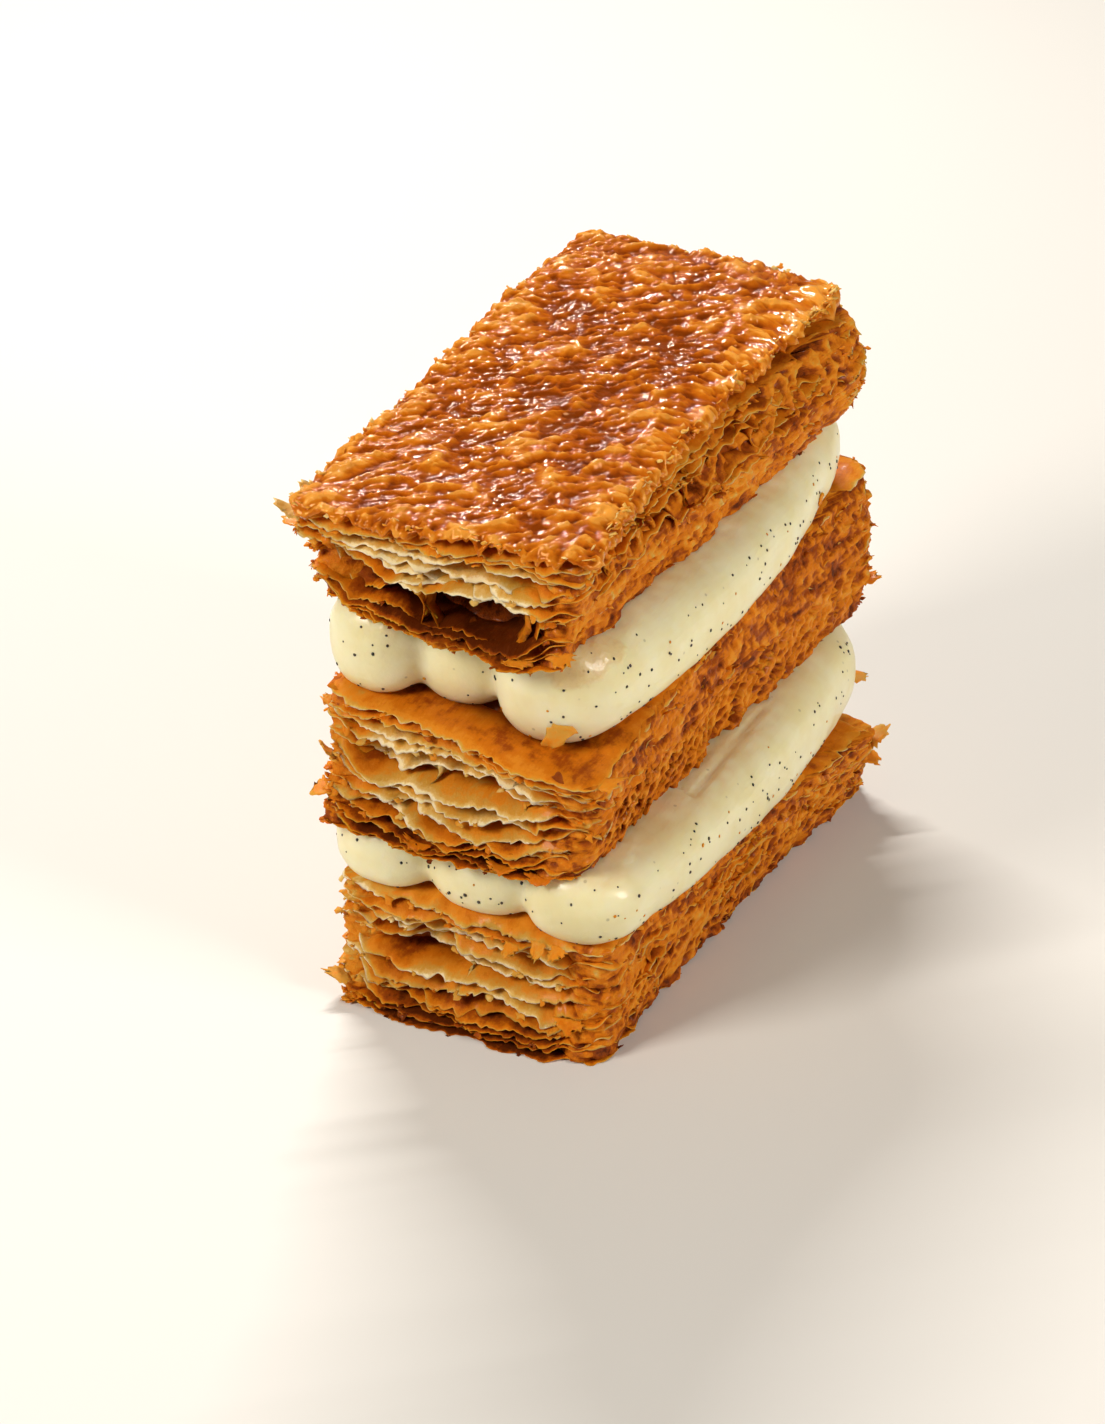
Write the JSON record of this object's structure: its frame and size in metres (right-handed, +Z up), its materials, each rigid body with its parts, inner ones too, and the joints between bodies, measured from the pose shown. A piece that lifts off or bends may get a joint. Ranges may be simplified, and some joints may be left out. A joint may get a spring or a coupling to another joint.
{
  "type": "mille feuille slice",
  "caption": "Layered pastry slice: baked puff pastry slabs with piped vanilla cream between them and a glazed, blistered top.",
  "frame": {"origin": "centre of the slice's footprint, on the surface it stands on", "axes": "+Z up, +Y along the slice away from the cut front face, +X across it"},
  "size_m": [0.0596, 0.1012, 0.0802],
  "materials": {
    "pastry": "crisp, flaky leaves, pale yellow inside the cut front and golden brown at the outside",
    "glazed_pastry": "blistered crust under a glossy caramel glaze",
    "cream": "smooth, moist vanilla cream with dark seeds"
  },
  "bodies": {
    "root": {"pastry_bottom": "pastry", "cream_lower": "cream", "pastry_middle": "pastry", "cream_upper": "cream", "pastry_top": "glazed_pastry"}
  },
  "joints": []
}
